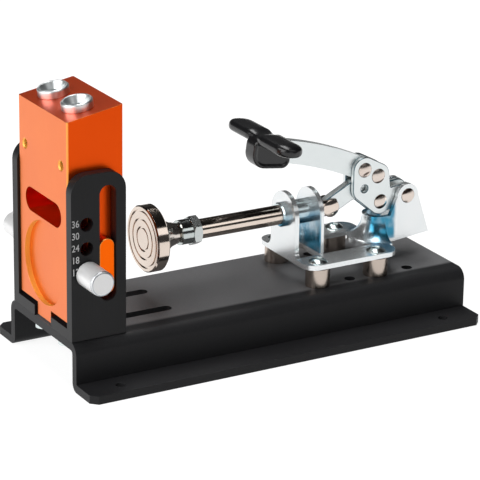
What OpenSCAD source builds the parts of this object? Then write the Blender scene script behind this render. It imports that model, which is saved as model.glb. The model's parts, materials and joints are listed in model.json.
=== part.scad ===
// Pocket hole jig: a drill guide block that slides between two uprights,
// and a push-pull toggle clamp that presses the board against it.
// X runs along the base from the guide to the clamp, Y across it, Z up from the bench.

/* [Base] */
// Length of the base along X
base_len = 265; // [240:1:320]
// Width of the raised top, outside to outside
base_top_w = 86; // [84:1:110]
// Width over both flanges
base_w = 127; // [124:1:160]
// Height of the raised top above the bench
base_h = 29; // [26:1:40]
// Thickness of the folded sheet
base_t = 5; // [3:0.5:6]
// Outside radius of the two upper bends
base_bend_r = 7; // [6.5:0.5:10]
// Cut at each flange corner
flange_cut = 4; // [2:0.5:8]
// Diameter of the four bench screw holes
bench_hole_d = 6; // [4:0.5:7]
// Spacing of the bench holes along X
bench_pitch_x = 220; // [180:1:230]
// Spacing of the bench holes across Y
bench_pitch_y = 108; // [106:1:112]
// Width of the two adjusting slots
slot_w = 7; // [6.6:0.1:8]
// Distance from the base's end to the slots' near ends
slot_margin = 5; // [4:0.5:7]
// Length of the adjusting slots
slot_len = 71; // [66:1:80]

/* [Uprights] */
// Thickness of both legs of each angle
angle_t = 6.5; // [5:0.5:8]
// Width of the upright leg along X
cheek_w = 34.5; // [33:0.5:38]
// Height of the upright leg above the base
cheek_h = 98.5; // [96:0.5:110]
// Radius of the upper corners
cheek_r = 11; // [6:0.5:13]
// Length of the foot, from the upright leg inwards
foot_len = 21; // [19:0.5:22]
// Width of the slot for the key
key_slot_w = 10.3; // [9:0.1:11]
// Place of that slot's middle from the leg's outer edge
key_slot_x = 23.1; // [22:0.1:24.5]
// Height of the slot's lower end above the base
key_slot_z0 = 21.7; // [18:0.1:23]
// Height of the slot's upper end above the base
key_slot_z1 = 90.6; // [88:0.1:92]
// Diameter of the index holes
index_d = 8; // [6:0.5:9]
// Place of the index holes from the leg's outer edge
index_x = 9.7; // [8:0.1:10]
// Height of the lowest index hole above the base
index_z = 40.4; // [36:0.1:44]
// Height from one index hole to the next
index_pitch = 14.5; // [12:0.1:15]
// Number of index holes
index_count = 3; // [2:1:3]
// Thread diameter of the foot screws
foot_screw_d = 6; // [5:0.5:6]
// Spacing of the two screws of one foot
foot_screw_pitch = 18.5; // [16:0.5:20]
// Distance of the foot screws from the upright leg's inner face
foot_screw_in = 16.5; // [14:0.5:17]

/* [Guide block] */
// Length of the block along X
block_l = 35; // [33:0.5:40]
// Width of the block
block_w = 62; // [58:1:70]
// Height of the low top edge above the base
block_h = 128; // [120:1:140]
// Slope of the top, which is also the drill angle from upright
drill_angle = 10; // [8:0.5:12]
// Setback of the block's face behind the uprights' outer edges
block_setback = 1.2; // [0.5:0.1:3]
// Gap between the block and each upright
block_gap = 0.5; // [0.3:0.1:1]
// Radius of the block's upright edges
block_edge_r = 1; // [0.5:0.1:2]
// Height of the side shoulders above the base
shoulder_z = 9; // [8:0.5:12]
// Width of the tongue between the feet
tongue_w = 17; // [14:0.5:18]
// Gap under the tongue
tongue_gap = 1.5; // [1:0.5:3]
// Height of the chip opening
chip_h = 14.4; // [10:0.1:16]
// Width of the chip opening over its round ends
chip_w = 46; // [40:1:48]
// Depth of the chip opening
chip_depth = 28; // [24:0.5:30]
// Height of the chip opening's middle above the base
chip_z = 69.5; // [68:0.1:76]
// Diameter of the drill passages below the bushes
passage_d = 11; // [10.5:0.1:12]
// Diameter of the small hole at the back of the chip opening
vent_d = 3; // [2:0.5:4]
// Diameter of the round recess
recess_d = 50; // [40:1:52]
// Depth of the round recess
recess_depth = 3; // [2:0.5:4]
// Height of the round recess's middle above the base
recess_z = 35.5; // [34:0.1:38]
// Diameter of the two tapped holes in the face
stop_hole_d = 5; // [3:0.5:5.5]
// Spacing of the tapped holes
stop_hole_pitch = 46; // [40:1:48]
// Height of the tapped holes above the base
stop_hole_z = 101; // [92:1:106]
// Depth of the tapped holes
stop_hole_depth = 12; // [8:1:14]
// Width of the key on each side
key_w = 9.7; // [8:0.1:10.2]
// Height of the key over its round ends
key_h = 33.4; // [28:0.1:35]
// How far the key stands out of the block
key_out = 5.5; // [3:0.5:6]
// Height of the key's lower end above the base
key_z = 25.1; // [24:0.1:28]

/* [Drill bushes] */
// Distance of each drill axis from the block's side
bush_side = 16; // [14:0.5:17]
// Place of the axes behind the block's face, along the top
bush_inset = 14.8; // [13:0.1:16]
// Bore for the drill
bush_bore = 9.6; // [8:0.1:10]
// Diameter of the pressed-in part
bush_d = 14; // [12.5:0.1:15]
// Length of the pressed-in part
bush_len = 30; // [24:1:34]
// Diameter of the collar
collar_d = 18.5; // [17:0.5:20]
// Height of the collar
collar_h = 5; // [4:0.5:6]
// Diameter of the funnel at the top
funnel_d = 15; // [12:0.5:16]
// Depth of the funnel
funnel_depth = 4; // [2:0.5:4.5]

/* [Index pins] */
// Diameter of the knob
knob_d = 14.8; // [12:0.1:16]
// Length of the knob
knob_l = 19.5; // [14:0.5:24]
// Edge chamfer of the knob
knob_cut = 0.8; // [0.4:0.1:1.5]
// Reach of the pin into the block
pin_reach = 5; // [4:0.5:6]

/* [Clamp body] */
// Thickness of the clamp's sheet
clamp_t = 3; // [2.5:0.5:4]
// Place of the clamp's front screws along X
clamp_x = 38.5; // [34:0.5:44]
// Screw spacing along X
clamp_pitch_x = 41; // [39:0.5:44]
// Screw spacing across Y
clamp_pitch_y = 48; // [46:0.5:50]
// Shift to the second set of screw holes
spare_shift = 23; // [18:0.5:26]
// Diameter of the screw holes
clamp_hole_d = 6.6; // [6.4:0.1:7]
// Diameter of the pillars
pillar_d = 15; // [12:0.5:16]
// Height of the pillars
pillar_h = 12; // [8:0.5:20]
// Width of the clamp's foot over both side strips
foot_w = 62; // [60:1:66]
// Width of each side strip
strip_w = 17; // [16:0.5:18]
// Length of the clamp's foot behind its front edge
foot_l = 65; // [62:0.5:70]
// Distance of the front edge ahead of the front screws
foot_front = 10.5; // [9:0.5:12]
// Height of the plunger axis above the clamp's underside
axis_h = 27.3; // [26:0.1:32]
// Half width of the ears and radius of their round tops
ear_r = 14; // [12:0.5:15]
// Spacing of the two ears
ear_pitch = 17.5; // [16:0.5:20]
// Radius of the flare at the foot of the front ear
ear_flare = 5; // [4:0.5:8]
// Outside diameter of the guide tube
tube_d = 15; // [14:0.5:16]
// How far the tube stands out ahead of the front ear
tube_out = 3.5; // [2:0.5:5]
// Height of the rear tower's front wall above the foot
tower_h = 14.5; // [10:0.5:15]
// Width of the flare around the tower's foot
tower_flare = 8; // [6:0.5:9]
// Radius of that flare's hollow side
tower_flare_r = 14; // [10:0.5:15]
// Radius of the rear plates around the lever pivot
cheekplate_r = 7.5; // [7:0.1:8.5]
// Reach of the rear plates behind the lever pivot
cheekplate_back = 16; // [12:0.5:20]

/* [Toggle linkage] */
// Distance of the lever pivot behind the front screws
pivot_dx = 72.8; // [71:0.1:76]
// Height of the lever pivot above the plunger axis
pivot_dz = 1.3; // [0.5:0.1:2]
// Distance from the lever pivot to the link pivot
crank_l = 17.8; // [17:0.1:19]
// Angle of that crank below level, past the dead centre
crank_drop = 6.8; // [5:0.1:8]
// Distance between the link's two pivots
link_l = 34.6; // [33:0.1:36]
// Distance of the link's elbow from the cross pin
link_elbow = 17; // [16:0.5:19]
// Height of the link's elbow above the line of its pivots
link_rise = 9; // [7:0.5:9]
// Width of the link's band
link_band = 11; // [9:0.5:11]
// Thickness of the link
link_t = 5.4; // [4:0.1:5.6]
// Diameter of the rivets' shanks
rivet_d = 6; // [5:0.1:6.5]
// Diameter of the rivets' heads
rivet_head_d = 10; // [8:0.1:10.5]
// Height of the rivets' heads
rivet_head_h = 1.2; // [1:0.1:2]
// Diameter of the pin across the plunger
plunger_pin_d = 4; // [3:0.1:4.2]
// Diameter of that pin's heads
pin_head_d = 11.5; // [10:0.1:12]
// Distance between the flats on the plunger under those heads
fork_w = 9.6; // [9:0.1:10]
// Room in the plunger's fork ahead of the link's end
fork_room = 5; // [4.6:0.1:6]

/* [Lever and handle] */
// Thickness of each lever plate
lever_t = 3; // [2.5:0.5:3.5]
// Thickness of the handle bar
bar_t = 6; // [5.8:0.1:6.4]
// Height of the handle bar
bar_h = 14; // [12:0.5:15]
// Radius of the bar's curve
bar_curve_r = 230; // [180:5:300]
// Slope of the bar at its rivets
bar_slope = 28; // [24:1:32]
// Length of the bar ahead of the middle of its rivets
bar_front = 80; // [70:1:90]
// Spacing of the bar's two rivets
bar_rivet_pitch = 11.1; // [10:0.1:12]
// Place of the rivets' middle ahead of the lever pivot
bar_dx = 24.7; // [23:0.1:27]
// Place of the rivets' middle above the lever pivot
bar_dz = 17.2; // [16:0.1:19]
// Radius of the lever plate's lobes
lever_lobe_r = 8; // [7:0.1:8.5]
// Height of the open hole in the lever plates above the link pivot
lever_hole_dz = 10; // [9:0.5:12]
// Diameter of the open hole in the lever plates
lever_hole_d = 5; // [4:0.5:6]
// Length of the grip's cross bar
grip_l = 70; // [60:1:84]
// Width of the grip's cross bar
grip_w = 16; // [14:0.5:20]
// Thickness of the grip's cross bar
grip_t = 8.5; // [8:0.5:11]
// Thickness of the cross bar at its waist
grip_waist = 7; // [6:0.1:8]
// Width of the grip's stem across the bar
stem_w = 11; // [10:0.5:16]
// Length of the grip's stem along the bar
stem_l = 26; // [24:1:32]
// Length of the stem ahead of the bar's end
stem_over = 7; // [4:0.5:9]
// Depth of the stem below the bar's middle
stem_drop = 10.5; // [9:0.5:13]
// Place of the cross bar behind the bar's end
grip_back = 2.5; // [0:0.5:6]

/* [Plunger and pad] */
// Diameter of the plunger
plunger_d = 12; // [10:0.5:12.5]
// Length of the plunger ahead of its cross pin
plunger_front = 90.5; // [86:0.5:95]
// Length of the plunger behind its cross pin
plunger_rear = 5; // [4.5:0.1:5.5]
// Diameter of the spindle's thread
spindle_d = 8; // [6:0.5:8]
// Length of the spindle's thread behind the collar
spindle_l = 30; // [24:1:34]
// Width across the flats of the jam nut
jam_af = 16; // [13:1:18]
// Thickness of the jam nut
jam_t = 5.5; // [4:0.5:7]
// Diameter of the spindle's collar
shoulder_d = 15; // [13:0.5:16]
// Length of the spindle's collar
shoulder_l = 7; // [5:0.5:8]
// Small diameter of the spindle's cone
cone_d0 = 11.5; // [9:0.5:12]
// Large diameter of the spindle's cone
cone_d1 = 22; // [18:0.5:22]
// Diameter halfway along the spindle's cone
cone_mid = 15.4; // [14:0.1:16.5]
// Length of the spindle's cone
cone_l = 12.8; // [10:0.1:16]
// Diameter of the ball that carries the pad
ball_d = 9; // [8:0.5:9]
// Gap between the cone and the pad's hub
pad_gap = 1.2; // [1:0.1:2]
// Diameter of the pad
pad_d = 40; // [38:1:46]
// Thickness of the pad's disc
pad_t = 8; // [7:0.5:9]
// Diameter of the pad's hub
hub_d = 25; // [22:0.5:28]
// Length of the pad's hub
hub_l = 1.5; // [1:0.5:2.5]
// Number of ring grooves in the pad's face
ring_count = 3; // [1:1:3]
// Radius of the inmost ring groove
ring_first = 6.4; // [5:0.1:7]
// Distance from one ring groove to the next
ring_pitch = 5; // [4:0.1:5.4]
// Width of each ring groove
ring_w = 1.2; // [0.6:0.1:1.5]
// Depth of each ring groove
ring_depth = 0.8; // [0.4:0.1:1]

/* [Fasteners] */
// Diameter of the clamp screws
screw_d = 6; // [5:0.5:6]
// Diameter of the clamp screws' heads
screw_head_d = 12; // [10:0.5:12.5]
// Height of the clamp screws' heads
screw_head_h = 2.6; // [2.4:0.1:4]
// Hex socket of the clamp screws, over its corners
screw_key_d = 5.4; // [4:0.1:6]
// Width across the flats of the nuts
nut_af = 10; // [8:0.5:10]
// Height of the nuts
nut_h = 5; // [4:0.5:6]
// Diameter of the washers under the base
washer_d = 12; // [11:0.5:14]
// Thickness of the washers
washer_t = 1.6; // [1:0.1:2]
// Diameter of the foot screws' heads
cap_d = 10; // [9:0.5:10]
// Height of the foot screws' heads
cap_h = 3.3; // [3:0.1:3.6]
// Hex socket of the foot screws, over its corners
cap_key_d = 5; // [4:0.1:5.6]

/* [Hidden] */
$fn = 64;

// Small sizes that every piece shares
over = 1;          // extra length of a cut beyond a face
fit = 0.05;        // radial clearance of a pin or shaft in its bore
press = 0.02;      // radial clearance of a piece that stays put
side_gap = 0.4;    // gap between plates that turn past each other
hub_fit = 0.1;     // gap between the ball and its socket
edge_cut = 0.8;    // chamfer of turned edges

// Places along X
base_x0 = -base_len / 2;
block_x0 = base_x0 + block_setback;
index_px = base_x0 + index_x;
foot_screw_x = base_x0 + (cheek_w - foot_screw_pitch) / 2;
foot_front_x = clamp_x - foot_front;
ear_x1 = foot_front_x + ear_pitch;
pivot_x = clamp_x + pivot_dx;
link_px = pivot_x - crank_l * cos(crank_drop);
tower_x = pivot_x - 2 * lever_lobe_r;

// Places across Y
cheek_in = block_w / 2 + block_gap;
cheek_out = cheek_in + angle_t;
slot_pitch = 2 * (cheek_in - foot_screw_in);
bush_pitch = block_w - 2 * bush_side;
lever_in = bar_t / 2;
lever_out = lever_in + lever_t;
plate_in = lever_out + side_gap;
plate_out = plate_in + clamp_t;

// Heights
index_pz = base_h + index_z;
index_top = index_pz + (index_count - 1) * index_pitch;
clamp_z = base_h + pillar_h;
clamp_top = clamp_z + clamp_t;
axis_z = clamp_z + axis_h;
pivot_z = axis_z + pivot_dz;
link_pz = pivot_z - crank_l * sin(crank_drop);
tower_top = clamp_top + tower_h;
nut_z = base_h - base_t - washer_t;

// The cross pin lies where the link meets the plunger axis
pin_x = link_px - sqrt(link_l * link_l - (link_pz - axis_z) * (link_pz - axis_z));
plunger_x0 = pin_x - plunger_front;
plunger_x1 = pin_x + plunger_rear;

// Pad and spindle stations, from the plunger's front end forwards
nut_x = plunger_x0 - jam_t;
shoulder_x = nut_x - shoulder_l;
cone_x = shoulder_x - cone_l;
hub_x = cone_x - pad_gap;
face_x = hub_x - hub_l - pad_t;
ball_x = hub_x - ball_d / 3;

// Handle bar: its curve's centre, and the two rivets that hold it
bar_x = pivot_x - bar_dx;
bar_z = pivot_z + bar_dz;
curve_x = bar_x - bar_curve_r * sin(bar_slope);
curve_z = bar_z - bar_curve_r * cos(bar_slope);
rivet_dx = bar_rivet_pitch / 2 * cos(bar_slope);
rivet_dz = bar_rivet_pitch / 2 * sin(bar_slope);
rivet_a = [bar_x - rivet_dx, bar_z + rivet_dz];
rivet_b = [bar_x + rivet_dx, bar_z - rivet_dz];
lever_hole = [rivet_a[0], link_pz + lever_hole_dz];
link_p = [link_px, link_pz];
pivot_p = [pivot_x, pivot_z];
bar_turn = bar_front / bar_curve_r * 180 / PI;
bar_back_turn = bar_rivet_pitch / 2 / bar_curve_r * 180 / PI;

// Toggle link, and room for the open joint at the cross pin
link_tilt = atan2(link_pz - axis_z, link_px - pin_x);
fork_front = link_band / 2 + fork_room;

// Two-dimensional helpers

// Bar with round ends between two points
module link_2d(p, q, r) {
    d = q - p;
    translate(p) rotate(atan2(d[1], d[0])) {
        circle(r);
        translate([0, -r]) square([norm(d), 2 * r]);
        translate([norm(d), 0]) circle(r);
    }
}

// Upright slot with round ends
module slot_2d(x, z0, z1, w) {
    link_2d([x, z0 + w / 2], [x, z1 - w / 2], w / 2);
}

// Rectangle standing on the X axis with round upper corners
module arch_2d(w, h, r) {
    translate([-w / 2, 0]) square([w, h - r]);
    translate([-w / 2 + r, 0]) square([w - 2 * r, h]);
    for (s = [-1, 1])
        translate([s * (w / 2 - r), h - r]) circle(r);
}

// Foot of width w that widens from the Y axis towards +X, with a hollow side of radius r
module flare_2d(w, r) {
    h = sqrt(r * r - (r - w) * (r - w));
    difference() {
        square([w, h]);
        translate([r, h]) circle(r);
    }
}

// Sector of a ring
module sector_2d(r, band, a0, a1) {
    far = 2 * r;
    intersection() {
        difference() {
            circle(r + band / 2, $fn = 256);
            circle(r - band / 2, $fn = 256);
        }
        polygon([[0, 0], far * [cos(a0), sin(a0)], far * [cos(a1), sin(a1)]]);
    }
}

// Three-dimensional helpers

// Upright plate: an outline in X and Z, from y0 to y1
module plate_y(y0, y1) {
    translate([0, y1, 0]) rotate([90, 0, 0]) linear_extrude(y1 - y0) children();
}

// Cross plate: an outline in Y and Z, from x0 to x1
module plate_x(x0, x1) {
    translate([x0, 0, 0]) rotate([90, 0, 90]) linear_extrude(x1 - x0) children();
}

// Turned piece about a line along +X through y = 0 and the height z; the profile is [radius, place]
module turned_x(x, z) {
    translate([x, 0, z]) rotate([0, 90, 0]) rotate_extrude() children();
}

// Rod along Y, centred on the middle plane
module rod_y(p, d, l) {
    translate([p[0], 0, p[1]]) rotate([90, 0, 0]) cylinder(d = d, h = l, center = true);
}

// Rivet along Y with a domed head on each side
module rivet(p, half) {
    rod_y(p, rivet_d - 2 * fit, 2 * half);
    on_both_sides(p, half) dome(rivet_head_d, rivet_head_h);
}

// Children outside both faces of a piece, with z = 0 on the face
module on_both_sides(p, half) {
    for (s = [0, 180])
        translate([p[0], 0, p[1]]) rotate([90, 0, s]) translate([0, 0, half]) children();
}

// Domed head standing on z = 0
module dome(d, h) {
    r = (d * d / 4 + h * h) / (2 * h);
    rotate_extrude() intersection() {
        translate([0, h - r]) circle(r, $fn = 128);
        square([d / 2, h]);
    }
}

// Children at the clamp's four screws
module at_clamp_screws(shift = 0) {
    for (i = [0, 1], s = [-1, 1])
        translate([clamp_x + shift + i * clamp_pitch_x, s * clamp_pitch_y / 2, 0]) children();
}

// Children at the four foot screws
module at_foot_screws() {
    for (i = [0, 1], s = [-1, 1])
        translate([foot_screw_x + i * foot_screw_pitch, s * slot_pitch / 2, 0]) children();
}

// Children on a drill axis, with z = 0 at the block's top
module at_bush(s) {
    translate([block_x0 + bush_inset, s * bush_pitch / 2, base_h + block_h + bush_inset * tan(drill_angle)])
        rotate([0, -drill_angle, 0]) children();
}

// Nodes

// Folded sheet with raised top and two flanges
module base_plate() {
    inside_w = base_top_w - 2 * base_t;
    color("dimgray") difference() {
        rotate([90, 0, 90]) linear_extrude(base_len, center = true) difference() {
            union() {
                arch_2d(base_top_w, base_h, base_bend_r);
                translate([-base_w / 2, 0]) square([base_w, base_t]);
            }
            translate([0, -over]) arch_2d(inside_w, base_h - base_t + over, base_bend_r - base_t);
            for (s = [0, 1])
                mirror([s, 0]) translate([inside_w / 2, 0]) flare_2d(base_t, base_t);
        }
        for (sx = [-1, 1], sy = [-1, 1])
            translate([sx * base_len / 2, sy * base_w / 2, -over]) rotate(45)
                cube([sqrt(2) * flange_cut, sqrt(2) * flange_cut, 2 * (base_t + 2 * over)], center = true);
        for (sx = [-1, 1], sy = [-1, 1])
            translate([sx * bench_pitch_x / 2, sy * bench_pitch_y / 2, -over])
                cylinder(d = bench_hole_d, h = base_t + 2 * over);
        for (s = [-1, 1])
            translate([base_x0 + slot_margin, s * slot_pitch / 2, base_h - base_t - over])
                linear_extrude(base_t + 2 * over)
                    link_2d([slot_w / 2, 0], [slot_len - slot_w / 2, 0], slot_w / 2);
        for (shift = [0, spare_shift])
            at_clamp_screws(shift) translate([0, 0, base_h - base_t - over])
                cylinder(d = clamp_hole_d, h = base_t + 2 * over);
    }
}

// Angle on the front side; the rear one is its mirror image
module angle_piece() {
    difference() {
        union() {
            translate([0, 0, base_h]) plate_y(-cheek_out, -cheek_in) difference() {
                translate([base_x0 + cheek_w / 2, 0]) arch_2d(cheek_w, cheek_h, cheek_r);
                slot_2d(base_x0 + key_slot_x, key_slot_z0, key_slot_z1, key_slot_w);
                for (i = [0 : index_count - 1])
                    translate([index_px, index_z + i * index_pitch]) circle(d = index_d);
            }
            translate([base_x0, -cheek_in, base_h]) cube([cheek_w, foot_len, angle_t]);
        }
        for (i = [0, 1])
            translate([foot_screw_x + i * foot_screw_pitch, -slot_pitch / 2, base_h - over])
                cylinder(d = foot_screw_d + 2 * press, h = angle_t + 2 * over);
    }
}

module front_angle() {
    color("darkslategray") angle_piece();
}

module rear_angle() {
    color("darkslategray") mirror([0, 1, 0]) angle_piece();
}

// Cap screws from below into the feet
module foot_screws() {
    head_z = base_h - base_t - washer_t - cap_h;
    color("silver") at_foot_screws() translate([0, 0, head_z]) difference() {
        union() {
            cylinder(d = cap_d, h = cap_h);
            cylinder(d = foot_screw_d, h = cap_h + washer_t + base_t + angle_t);
        }
        translate([0, 0, -over]) cylinder(d = cap_key_d, h = cap_h / 2 + over, $fn = 6);
    }
}

module foot_washers() {
    color("gainsboro") at_foot_screws() translate([0, 0, nut_z]) difference() {
        cylinder(d = washer_d, h = washer_t);
        translate([0, 0, -over]) cylinder(d = foot_screw_d + 2 * fit, h = washer_t + 2 * over);
    }
}

// Block with sloping top, chip opening, round recess and drill passages
module guide_block() {
    pocket_r = index_d / 2;
    color("darkorange") difference() {
        union() {
            intersection() {
                plate_y(-block_w / 2, block_w / 2) translate([block_x0, base_h]) polygon([
                    [0, shoulder_z], [block_l, shoulder_z],
                    [block_l, block_h + block_l * tan(drill_angle)], [0, block_h]
                ]);
                translate([block_x0 + block_l / 2, 0, base_h]) linear_extrude(2 * block_h) round_rect_2d();
            }
            translate([block_x0, -tongue_w / 2, base_h + tongue_gap])
                cube([block_l, tongue_w, shoulder_z]);
        }
        plate_x(block_x0 - over, block_x0 + chip_depth) translate([0, base_h + chip_z])
            link_2d([-(chip_w - chip_h) / 2, 0], [(chip_w - chip_h) / 2, 0], chip_h / 2);
        plate_x(block_x0, block_x0 + block_l + over) translate([0, base_h + chip_z]) circle(d = vent_d);
        plate_x(block_x0 - over, block_x0 + recess_depth) translate([0, base_h + recess_z])
            circle(d = recess_d);
        for (s = [-1, 1])
            translate([block_x0, s * stop_hole_pitch / 2, base_h + stop_hole_z]) rotate([0, 90, 0])
                rotate_extrude() stop_hole_2d();
        for (s = [-1, 1]) {
            at_bush(s) translate([0, 0, -bush_len]) cylinder(d = bush_d + 2 * press, h = bush_len + over);
            at_bush(s) translate([0, 0, -2 * block_h]) cylinder(d = passage_d, h = 2 * block_h);
        }
        for (s = [-1, 1])
            translate([0, s * block_w / 2, 0]) plate_y(-pin_reach - over, pin_reach + over)
                link_2d([index_px, base_h], [index_px, index_top], pocket_r);
    }
}

// Half section of a tapped hole with a countersunk mouth
module stop_hole_2d() {
    r = stop_hole_d / 2;
    polygon([
        [0, -over], [r + edge_cut + over, -over], [r, edge_cut], [r, stop_hole_depth], [0, stop_hole_depth]
    ]);
}

// Plan of the block with rounded upright edges
module round_rect_2d() {
    square([block_l - 2 * block_edge_r, block_w], center = true);
    square([block_l, block_w - 2 * block_edge_r], center = true);
    for (sx = [-1, 1], sy = [-1, 1])
        translate([sx * (block_l / 2 - block_edge_r), sy * (block_w / 2 - block_edge_r)])
            circle(block_edge_r);
}

// Keys on both sides that run in the uprights' slots
module slide_keys() {
    color("orange") for (s = [0, 1])
        mirror([0, s, 0]) translate([0, 0, base_h]) plate_y(-block_w / 2 - key_out, -block_w / 2)
            slot_2d(base_x0 + key_slot_x, key_z, key_z + key_h, key_w);
}

// Hardened bush with collar and funnel
module bush() {
    rotate_extrude() polygon([
        [bush_bore / 2, -bush_len], [bush_d / 2, -bush_len], [bush_d / 2, 0], [collar_d / 2, 0],
        [collar_d / 2, collar_h - edge_cut], [collar_d / 2 - edge_cut, collar_h],
        [funnel_d / 2, collar_h], [bush_bore / 2, collar_h - funnel_depth]
    ]);
}

module front_bush() {
    color("lightsteelblue") at_bush(-1) bush();
}

module rear_bush() {
    color("lightsteelblue") at_bush(1) bush();
}

// Index pin with a plain knob, pulled out along Y
module pin_piece() {
    nose = angle_t + block_gap + pin_reach;
    lift = 0.3;
    translate([index_px, -cheek_out, index_pz]) rotate([90, 0, 0]) rotate_extrude() polygon([
        [0, -nose], [index_d / 2 - fit - knob_cut, -nose], [index_d / 2 - fit, -nose + knob_cut],
        [index_d / 2 - fit, lift], [knob_d / 2 - knob_cut, lift], [knob_d / 2, lift + knob_cut],
        [knob_d / 2, lift + knob_l - knob_cut], [knob_d / 2 - knob_cut, lift + knob_l], [0, lift + knob_l]
    ]);
}

module front_pin() {
    color("whitesmoke") pin_piece();
}

module rear_pin() {
    color("whitesmoke") mirror([0, 1, 0]) pin_piece();
}

module clamp_pillars() {
    color("rosybrown") at_clamp_screws() translate([0, 0, base_h]) difference() {
        cylinder(d = pillar_d, h = pillar_h);
        translate([0, 0, -over]) cylinder(d = clamp_hole_d, h = pillar_h + 2 * over);
    }
}

module clamp_screws() {
    shank = clamp_top - nut_z + nut_h + over;
    color("silver") at_clamp_screws() translate([0, 0, clamp_top]) difference() {
        union() {
            dome(screw_head_d, screw_head_h);
            translate([0, 0, -shank]) cylinder(d = screw_d, h = shank + screw_head_h / 4);
        }
        translate([0, 0, screw_head_h / 2]) cylinder(d = screw_key_d, h = screw_head_h, $fn = 6);
    }
}

module clamp_washers() {
    color("gainsboro") at_clamp_screws() translate([0, 0, nut_z]) difference() {
        cylinder(d = washer_d, h = washer_t);
        translate([0, 0, -over]) cylinder(d = screw_d + 2 * fit, h = washer_t + 2 * over);
    }
}

module clamp_nuts() {
    color("gainsboro") at_clamp_screws() translate([0, 0, nut_z - nut_h]) difference() {
        cylinder(d = nut_af / cos(30), h = nut_h, $fn = 6);
        translate([0, 0, -over]) cylinder(d = screw_d + 2 * press, h = nut_h + 2 * over);
    }
}

// Pressed body: foot with side strips, two ears for the tube and a rear tower for the lever
module clamp_body() {
    color("lightblue") difference() {
        union() {
            translate([0, 0, clamp_z]) linear_extrude(clamp_t) clamp_foot_2d();
            plate_x(foot_front_x, foot_front_x + clamp_t) ear_2d(ear_flare);
            plate_x(ear_x1, ear_x1 + clamp_t) ear_2d(0);
            translate([0, 0, clamp_z]) linear_extrude(tower_top - clamp_z) tower_2d();
            translate([tower_x, 0, clamp_top]) rotate(90) rotate_extrude(angle = 180)
                translate([plate_out, 0]) flare_2d(tower_flare, tower_flare_r);
            for (s = [-1, 1])
                mirror([0, s > 0 ? 1 : 0, 0]) plate_y(-plate_out, -plate_in) rear_plate_2d();
        }
        at_clamp_screws() translate([0, 0, clamp_z - over])
            cylinder(d = clamp_hole_d, h = clamp_t + 2 * over);
        translate([foot_front_x - over, 0, axis_z]) rotate([0, 90, 0])
            cylinder(d = tube_d + 2 * press, h = ear_pitch + clamp_t + 2 * over);
        rod_y(pivot_p, rivet_d, 4 * plate_out);
    }
}

// Plan of the clamp's foot, open between the strips
module clamp_foot_2d() {
    corner = strip_w / 2;
    window_x0 = ear_x1 + clamp_t;
    skirt_r = plate_out + tower_flare + edge_cut;
    difference() {
        union() {
            translate([foot_front_x + corner, -foot_w / 2]) square([foot_l - 2 * corner, foot_w]);
            translate([foot_front_x, -foot_w / 2 + corner]) square([foot_l, foot_w - 2 * corner]);
            for (x = [foot_front_x + corner, foot_front_x + foot_l - corner], s = [-1, 1])
                translate([x, s * (foot_w / 2 - corner)]) circle(corner);
            translate([foot_front_x + foot_l / 2, -skirt_r])
                square([tower_x - foot_front_x - foot_l / 2, 2 * skirt_r]);
        }
        difference() {
            translate([window_x0, -foot_w / 2 + strip_w])
                square([tower_x - window_x0, foot_w - 2 * strip_w]);
            translate([tower_x, 0]) circle(skirt_r);
        }
        translate([foot_front_x + clamp_t, -foot_w / 2 + strip_w])
            square([ear_pitch - clamp_t, foot_w - 2 * strip_w]);
        translate([tower_x, -plate_in]) square([foot_l, 2 * plate_in]);
    }
}

// Ear with round top, in Y and Z
module ear_2d(flare) {
    translate([0, clamp_z]) {
        translate([-ear_r, 0]) square([2 * ear_r, axis_h]);
        translate([0, axis_h]) circle(ear_r);
        if (flare > 0)
            for (s = [0, 1])
                mirror([s, 0]) translate([ear_r, clamp_t]) flare_2d(flare, flare);
    }
}

// Plan of the tower: half round in front, two straight walls behind
module tower_2d() {
    difference() {
        union() {
            translate([tower_x, 0]) circle(plate_out);
            translate([tower_x, -plate_out]) square([clamp_t, 2 * plate_out]);
        }
        translate([tower_x, 0]) circle(plate_in);
        translate([tower_x, -plate_in]) square([2 * plate_out, 2 * plate_in]);
        translate([tower_x + clamp_t, -2 * plate_out]) square(4 * plate_out);
    }
}

// Rear plate that carries the lever pivot, in X and Z
module rear_plate_2d() {
    r = cheekplate_r;
    polygon([
        [tower_x, clamp_z], [pivot_x + cheekplate_back, clamp_top],
        [pivot_x + r, pivot_z], [pivot_x - r, pivot_z],
        [tower_x + r / 2, tower_top], [tower_x, tower_top]
    ]);
    translate(pivot_p) circle(r);
}

// Tube between the ears in which the plunger slides
module guide_tube() {
    x0 = foot_front_x - tube_out;
    x1 = ear_x1 + clamp_t + side_gap;
    color("lightskyblue") turned_x(x0, axis_z) polygon([
        [plunger_d / 2 + fit, 0], [tube_d / 2 - edge_cut, 0], [tube_d / 2, edge_cut],
        [tube_d / 2, x1 - x0], [plunger_d / 2 + fit, x1 - x0]
    ]);
}

// Plunger with a threaded front end and a forked rear end
module plunger() {
    l = plunger_x1 - plunger_x0;
    bore = spindle_l - jam_t + over;
    color("tan") difference() {
        turned_x(plunger_x0, axis_z) polygon([
            [0, 0], [plunger_d / 2 - edge_cut, 0], [plunger_d / 2, edge_cut],
            [plunger_d / 2, l - edge_cut], [plunger_d / 2 - edge_cut, l], [0, l]
        ]);
        translate([plunger_x0 - over, 0, axis_z]) rotate([0, 90, 0])
            cylinder(d = spindle_d + 2 * fit, h = bore + over);
        translate([pin_x - fork_front, -lever_in, axis_z - plunger_d])
            cube([fork_front + plunger_rear + over, 2 * lever_in, 2 * plunger_d]);
        rod_y([pin_x, axis_z], plunger_pin_d, 2 * plunger_d);
        for (s = [0, 1])
            mirror([0, s, 0]) translate([pin_x - pin_head_d / 2 - side_gap, fork_w / 2, axis_z - plunger_d])
                cube([pin_head_d + plunger_rear, plunger_d, 2 * plunger_d]);
    }
}

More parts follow.
